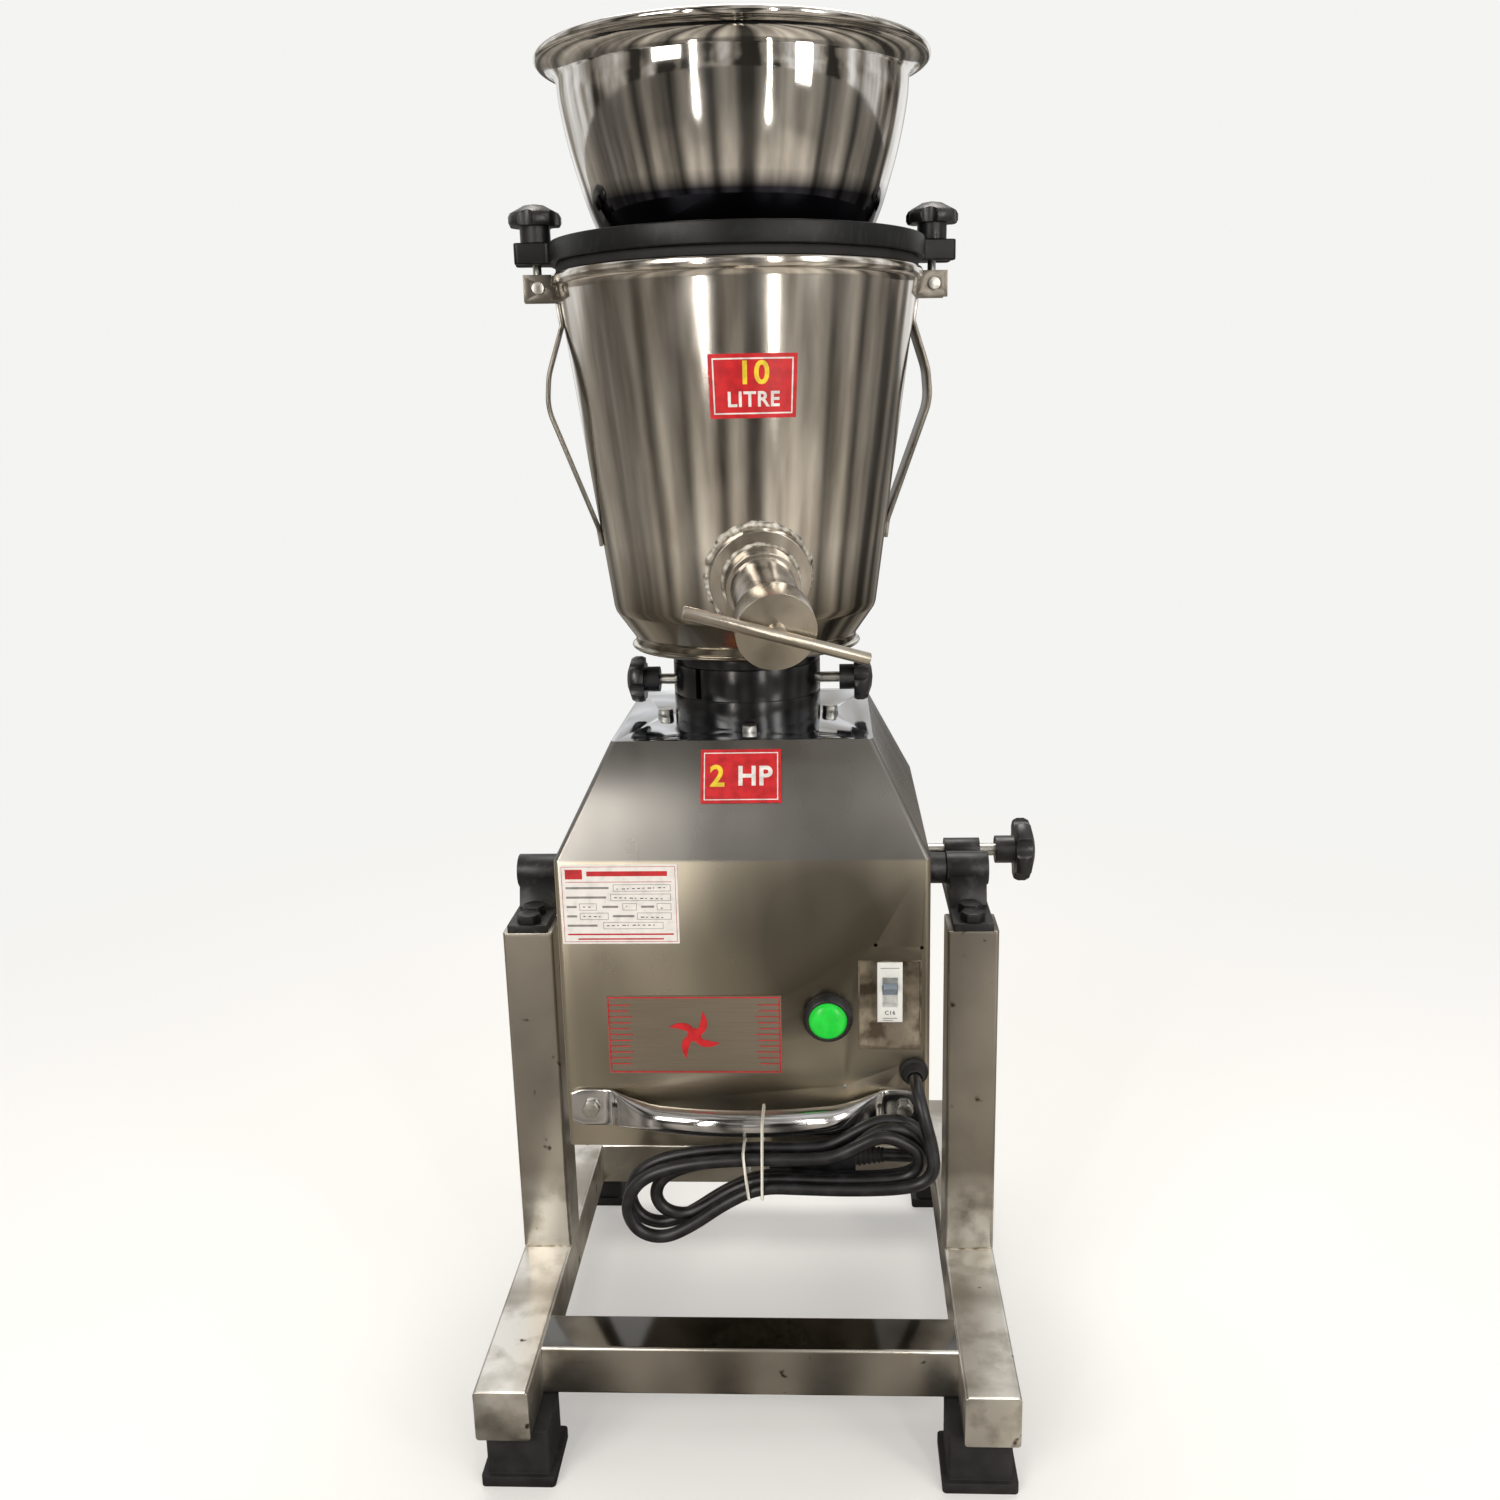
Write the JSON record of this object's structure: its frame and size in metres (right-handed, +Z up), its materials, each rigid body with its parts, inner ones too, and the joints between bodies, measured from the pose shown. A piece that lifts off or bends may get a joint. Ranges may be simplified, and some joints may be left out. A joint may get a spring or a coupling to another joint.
{
  "type": "commercial tilting mixer grinder",
  "caption": "Countertop wet and dry grinder: a jar with feed bowl and outlet on a motor housing that tilts on trunnions in a tube stand.",
  "frame": {"origin": "bottom centre of the machine's box without its cord, on the surface it stands on", "axes": "+Z up, -Y towards the operator (front panel), +X to the operator's right"},
  "size_m": [0.41, 0.416, 0.9575],
  "materials": {
    "satin_stainless": "satin ground stainless steel",
    "polished_stainless": "polished stainless steel",
    "mirror_stainless": "mirror polished stainless steel",
    "black_rubber": "moulded rubber",
    "black_plastic": "moulded phenolic",
    "black_enamel": "black oxide and paint",
    "zinc_steel": "zinc plated",
    "bronze": "turned bronze",
    "white_plastic": "moulded",
    "grey_plastic": "moulded",
    "green_lens": "moulded translucent",
    "cord_sheath": "soft PVC",
    "white_string": "twisted string",
    "printed_plate": "printed label",
    "cast_aluminium": "cast",
    "lamination_steel": "laminated steel",
    "copper_winding": "enamelled wire",
    "ground_steel": "ground"
  },
  "bodies": {
    "stand": {"stand_posts": "satin_stainless", "stand_runners": "satin_stainless", "stand_crossbars": "satin_stainless", "rubber_feet": "black_rubber", "pedestal_left": "black_enamel", "pedestal_right": "black_enamel", "pivot_bushes": "bronze", "pedestal_bolts": "zinc_steel"},
    "housing": {"housing_shell": "satin_stainless", "rear_cover": "satin_stainless", "bottom_cover": "satin_stainless", "trunnions": "ground_steel", "housing_fasteners": "zinc_steel", "neck_collar": "black_plastic", "pull_handle": "mirror_stainless", "lamp_bezel": "black_plastic", "lamp_lens": "green_lens", "breaker_recess": "satin_stainless", "breaker_body": "white_plastic", "cord_gland": "black_rubber", "cord_lead": "cord_sheath", "cord_hank": "cord_sheath", "cord_plug": "black_plastic", "cord_tie": "white_string", "panel_plates": "printed_plate", "motor_casing": "cast_aluminium", "stator_core": "lamination_steel", "stator_windings": "copper_winding", "motor_bearings": "ground_steel", "run_capacitor": "white_plastic"},
    "rotor": {"motor_shaft": "ground_steel", "rotor_core": "lamination_steel", "cooling_fan": "black_plastic", "drive_coupling": "black_plastic"},
    "breaker_toggle": {"breaker_toggle": "grey_plastic"},
    "tilt_lock_stud": {"tilt_lock_stud": "zinc_steel"},
    "tilt_lock_knob": {"tilt_lock_knob": "black_plastic"},
    "jar_lock_stud_left": {"jar_lock_stud_left": "zinc_steel"},
    "jar_lock_knob_left": {"jar_lock_knob_left": "black_plastic"},
    "jar_lock_stud_right": {"jar_lock_stud_right": "zinc_steel"},
    "jar_lock_knob_right": {"jar_lock_knob_right": "black_plastic"},
    "jar": {"jar_shell": "polished_stainless", "jar_spigot": "black_plastic", "jar_handles": "satin_stainless", "clamp_lugs": "satin_stainless", "swing_bolts": "zinc_steel", "outlet_spout": "polished_stainless", "blade_bush": "bronze"},
    "cutter": {"blade_spindle": "ground_steel", "driven_coupling": "black_plastic", "cutter_blades": "ground_steel", "blade_nut": "ground_steel"},
    "outlet_washer": {"outlet_washer": "black_rubber"},
    "outlet_cap": {"outlet_cap": "polished_stainless", "outlet_tee_bar": "polished_stainless"},
    "lid": {"lid_ring": "black_plastic", "lid_gasket": "black_rubber"},
    "lid_knob_left": {"lid_knob_left": "black_plastic"},
    "lid_knob_right": {"lid_knob_right": "black_plastic"},
    "feed_bowl": {"feed_bowl": "mirror_stainless"}
  },
  "joints": [
    {"name": "housing_tilt", "type": "hinge", "parent": "stand", "child": "housing", "pos_m": [-0.019, 0.023, 0.376], "axis": [1, 0, 0], "range_deg": [0, 100]},
    {"name": "tilt_lock_advance", "type": "slide", "parent": "stand", "child": "tilt_lock_stud", "axis": [1, 0, 0], "range_m": [0, 0.003]},
    {"name": "tilt_lock_turn", "type": "hinge", "parent": "tilt_lock_stud", "child": "tilt_lock_knob", "pos_m": [0.1735, 0.058, 0.3795], "axis": [1, 0, 0], "range_deg": [0, 720]},
    {"name": "jar_lock_advance_left", "type": "slide", "parent": "housing", "child": "jar_lock_stud_left", "axis": [-1, 0, 0], "range_m": [0, 0.003]},
    {"name": "jar_lock_turn_left", "type": "hinge", "parent": "jar_lock_stud_left", "child": "jar_lock_knob_left", "pos_m": [-0.074, 0.023, 0.528], "axis": [-1, 0, 0], "range_deg": [0, 720]},
    {"name": "jar_lock_advance_right", "type": "slide", "parent": "housing", "child": "jar_lock_stud_right", "axis": [1, 0, 0], "range_m": [0, 0.003]},
    {"name": "jar_lock_turn_right", "type": "hinge", "parent": "jar_lock_stud_right", "child": "jar_lock_knob_right", "pos_m": [0.036, 0.023, 0.528], "axis": [1, 0, 0], "range_deg": [0, 720]},
    {"name": "motor_turn", "type": "hinge", "parent": "housing", "child": "rotor", "pos_m": [-0.019, 0.023, 0.401], "axis": [0, 0, 1], "continuous": true},
    {"name": "breaker_switch", "type": "hinge", "parent": "housing", "child": "breaker_toggle", "pos_m": [0.083, -0.1015, 0.328], "axis": [1, 0, 0], "range_deg": [0, 70]},
    {"name": "jar_lift", "type": "slide", "parent": "housing", "child": "jar", "axis": [0, 0, 1], "range_m": [0, 0.06]},
    {"name": "cutter_turn", "type": "hinge", "parent": "jar", "child": "cutter", "pos_m": [-0.019, 0.023, 0.555], "axis": [0, 0, 1], "continuous": true},
    {"name": "outlet_washer_travel", "type": "slide", "parent": "jar", "child": "outlet_washer", "axis": [0.1511, -0.954, -0.2588], "range_m": [0, 0.016]},
    {"name": "outlet_cap_turn", "type": "hinge", "parent": "outlet_washer", "child": "outlet_cap", "pos_m": [0.01007, -0.16054, 0.59322], "axis": [0.1511, -0.954, -0.2588], "range_deg": [0, 1440]},
    {"name": "lid_lift", "type": "slide", "parent": "jar", "child": "lid", "axis": [0, 0, 1], "range_m": [0, 0.05]},
    {"name": "lid_knob_turn_left", "type": "hinge", "parent": "lid", "child": "lid_knob_left", "pos_m": [-0.15688, 0.00116, 0.8385], "axis": [0, 0, 1], "continuous": true},
    {"name": "lid_knob_turn_right", "type": "hinge", "parent": "lid", "child": "lid_knob_right", "pos_m": [0.11888, 0.04484, 0.8385], "axis": [0, 0, 1], "continuous": true},
    {"name": "bowl_lift", "type": "slide", "parent": "lid", "child": "feed_bowl", "axis": [0, 0, 1], "range_m": [0, 0.08]}
  ],
  "couplings": [
    {"joint": "tilt_lock_advance", "follows": "tilt_lock_turn", "m_per_rad": 0.00023873},
    {"joint": "jar_lock_advance_left", "follows": "jar_lock_turn_left", "m_per_rad": 0.00023873},
    {"joint": "jar_lock_advance_right", "follows": "jar_lock_turn_right", "m_per_rad": 0.00023873},
    {"joint": "cutter_turn", "follows": "motor_turn", "ratio": 1},
    {"joint": "outlet_washer_travel", "follows": "outlet_cap_turn", "m_per_rad": 0.00063661}
  ]
}
